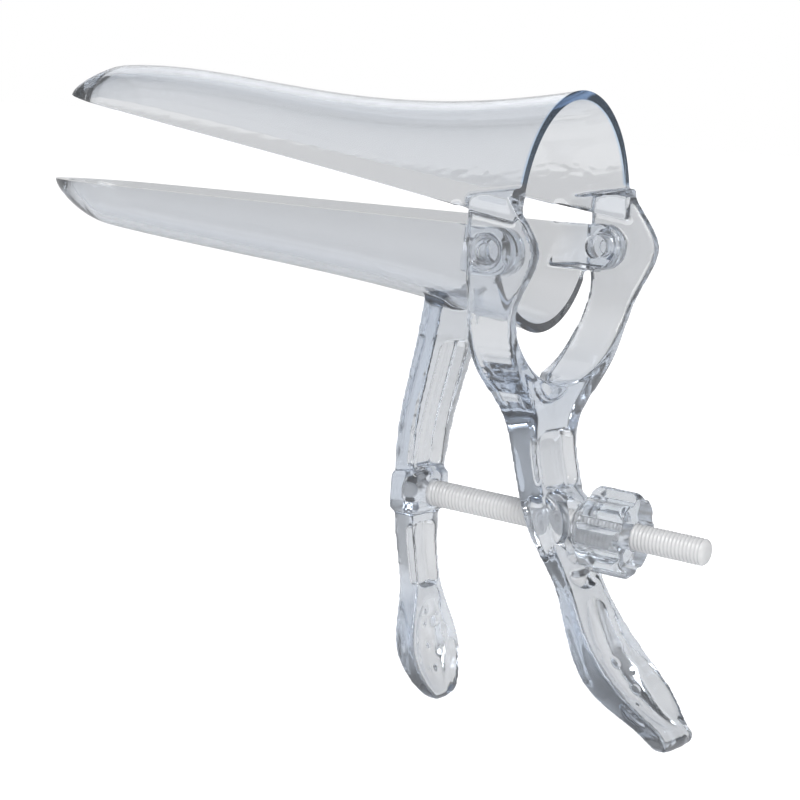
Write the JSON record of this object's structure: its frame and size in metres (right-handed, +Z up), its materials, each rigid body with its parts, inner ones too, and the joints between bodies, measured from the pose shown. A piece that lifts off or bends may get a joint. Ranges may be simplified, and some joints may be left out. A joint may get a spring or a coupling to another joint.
{
  "type": "bivalve speculum",
  "caption": "Clear plastic bivalve speculum: two duck-bill blades on a hinge, with a front handle, a rear thumb lever, and a threaded rod and knob nut that hold it open.",
  "frame": {"origin": "middle of the hinge axis, between the two pivots", "axes": "+X out of the mouth towards the user, with the blades towards -X; Y along the hinge axis; +Z up, the handles hang down"},
  "size_m": [0.1515, 0.049, 0.1161],
  "materials": {
    "clear_body": "clear polystyrene, polished, faint blue-grey tint in the edges",
    "clear_pin": "clear polystyrene, polished",
    "clear_rod": "clear polystyrene, frosted by its fine thread",
    "clear_nut": "clear polystyrene, polished lobes"
  },
  "bodies": {
    "frame": {"lower_blade": "clear_body", "hinge_pins": "clear_pin", "threaded_rod": "clear_rod"},
    "lever": {"upper_blade": "clear_body"},
    "nut": {"knob_nut": "clear_nut"}
  },
  "joints": [
    {"name": "blade_opening", "type": "hinge", "parent": "frame", "child": "lever", "pos_m": [0, 0, 0], "axis": [0, 1, 0], "range_deg": [-8.6, 20]},
    {"name": "nut_travel", "type": "slide", "parent": "frame", "child": "nut", "axis": [0.999, 0, -0.0436], "range_m": [-0.0175, 0.0078]}
  ],
  "couplings": [
    {"joint": "nut_travel", "follows": "blade_opening", "m_per_rad": -0.0495}
  ]
}
